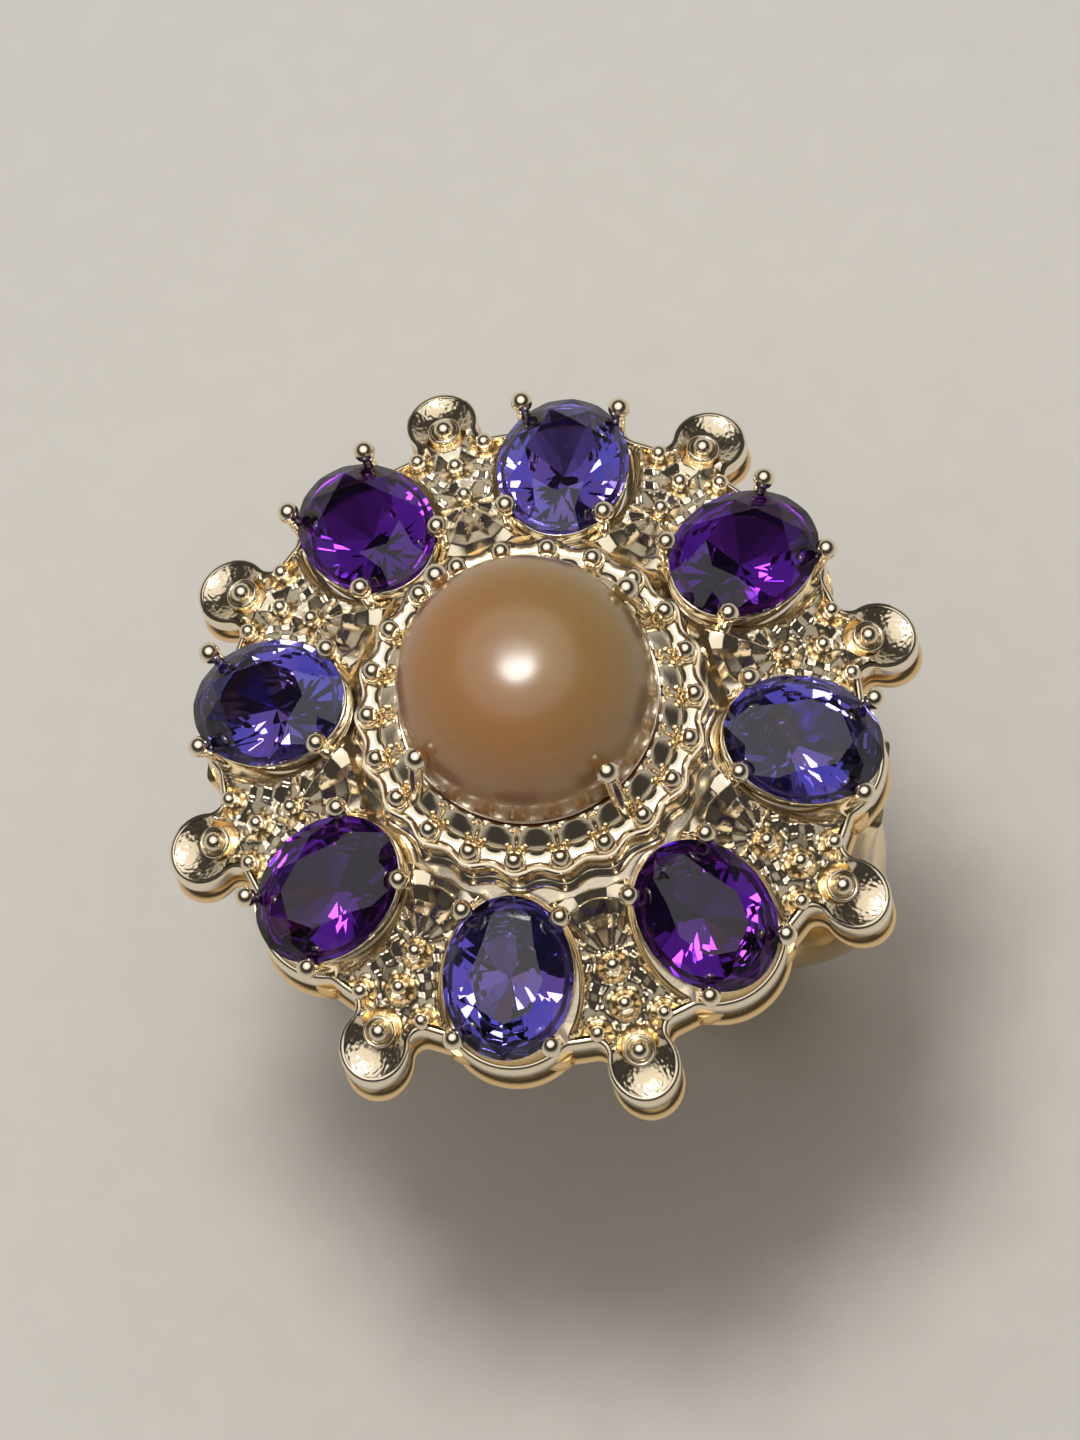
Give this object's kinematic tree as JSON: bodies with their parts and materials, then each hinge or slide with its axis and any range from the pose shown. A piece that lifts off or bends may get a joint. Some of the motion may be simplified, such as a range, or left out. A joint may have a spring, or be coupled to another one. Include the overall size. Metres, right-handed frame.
{
  "type": "cocktail ring",
  "caption": "Yellow gold cluster ring with a peach cabochon, a ring of oval blue and purple stones, and a scalloped beaded head.",
  "frame": {"origin": "centre of the finger hole", "axes": "+Z from the finger to the top of the cabochon, +Y along the finger hole towards the fingertip, +X across the finger"},
  "size_m": [0.0222, 0.0222, 0.0292],
  "materials": {
    "polished_gold": "polished yellow gold",
    "gallery_gold": "satin yellow gold under the head",
    "tanzanite": "faceted and polished, violet blue",
    "amethyst": "faceted and polished, deep purple",
    "opal": "polished translucent peach cabochon"
  },
  "bodies": {
    "root": {"shank": "polished_gold", "shoulder_left": "polished_gold", "shoulder_right": "polished_gold", "base_ring": "gallery_gold", "gallery_rail": "gallery_gold", "claw_posts": "gallery_gold", "lobe_posts": "gallery_gold", "head_plate": "polished_gold", "petal_1": "polished_gold", "petal_2": "polished_gold", "petal_3": "polished_gold", "petal_4": "polished_gold", "petal_5": "polished_gold", "petal_6": "polished_gold", "petal_7": "polished_gold", "petal_8": "polished_gold", "petal_beads": "polished_gold", "lobe_beads": "polished_gold", "tanzanite_setting_1": "polished_gold", "tanzanite_setting_2": "polished_gold", "tanzanite_setting_3": "polished_gold", "tanzanite_setting_4": "polished_gold", "amethyst_setting_1": "polished_gold", "amethyst_setting_2": "polished_gold", "amethyst_setting_3": "polished_gold", "amethyst_setting_4": "polished_gold", "tanzanite_1": "tanzanite", "tanzanite_2": "tanzanite", "tanzanite_3": "tanzanite", "tanzanite_4": "tanzanite", "amethyst_1": "amethyst", "amethyst_2": "amethyst", "amethyst_3": "amethyst", "amethyst_4": "amethyst", "collar": "polished_gold", "collar_beads": "polished_gold", "opal": "opal", "opal_claw_1": "polished_gold", "opal_claw_2": "polished_gold", "opal_claw_3": "polished_gold", "opal_claw_4": "polished_gold"}
  },
  "joints": []
}
